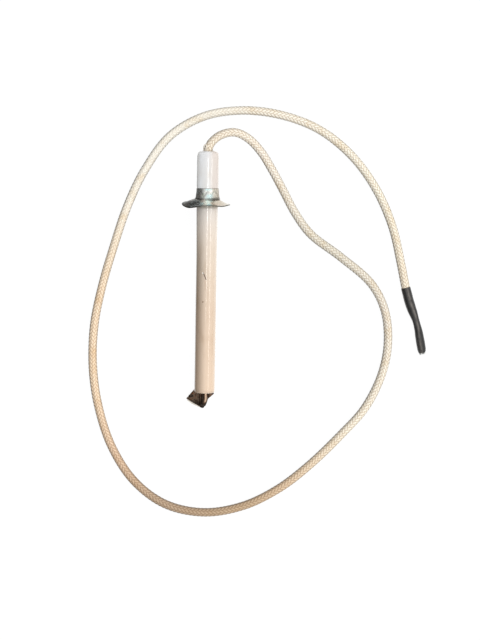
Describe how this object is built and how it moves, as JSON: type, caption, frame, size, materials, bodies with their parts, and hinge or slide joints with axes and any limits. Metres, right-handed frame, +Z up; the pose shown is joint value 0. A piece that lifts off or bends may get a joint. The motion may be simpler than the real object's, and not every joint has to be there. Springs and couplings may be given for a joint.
{
  "type": "flame sensor probe",
  "caption": "Glazed ceramic flame sensing electrode with a dished steel flange, a folded sheet-metal sensing flag and a fibreglass-braided lead ending in a sleeved push-on terminal.",
  "frame": {"origin": "middle of the probe's footprint on the surface that it lies on, measured without the lead, its sleeve and its terminal", "axes": "+Y along the probe towards the lead, +Z up from the surface, +X to the right; the probe's own axis rises towards +Y by 4.27 degrees, because it lies on the rim of its flange and on its hot end"},
  "size_m": [0.1654, 0.201, 0.0235],
  "materials": {
    "glazed_ceramic": "gloss",
    "cement": "matte",
    "plated_steel": "satin",
    "oxidised_steel": "matte",
    "bright_steel": "satin",
    "tinned_copper": "satin",
    "silicone": "satin",
    "fibreglass_braid": "matte",
    "heat_shrink": "satin"
  },
  "bodies": {
    "root": {"ceramic_insulator": "glazed_ceramic", "tip_cement": "cement", "mouth_cement": "cement", "flange_plate": "plated_steel", "flange_collar": "plated_steel", "electrode_rod": "oxidised_steel", "sensing_flag": "oxidised_steel", "splice_ferrule": "bright_steel", "lead_conductor": "tinned_copper", "lead_insulation": "silicone", "lead_braid": "fibreglass_braid", "heat_shrink_sleeve": "heat_shrink", "terminal": "bright_steel"}
  },
  "joints": []
}
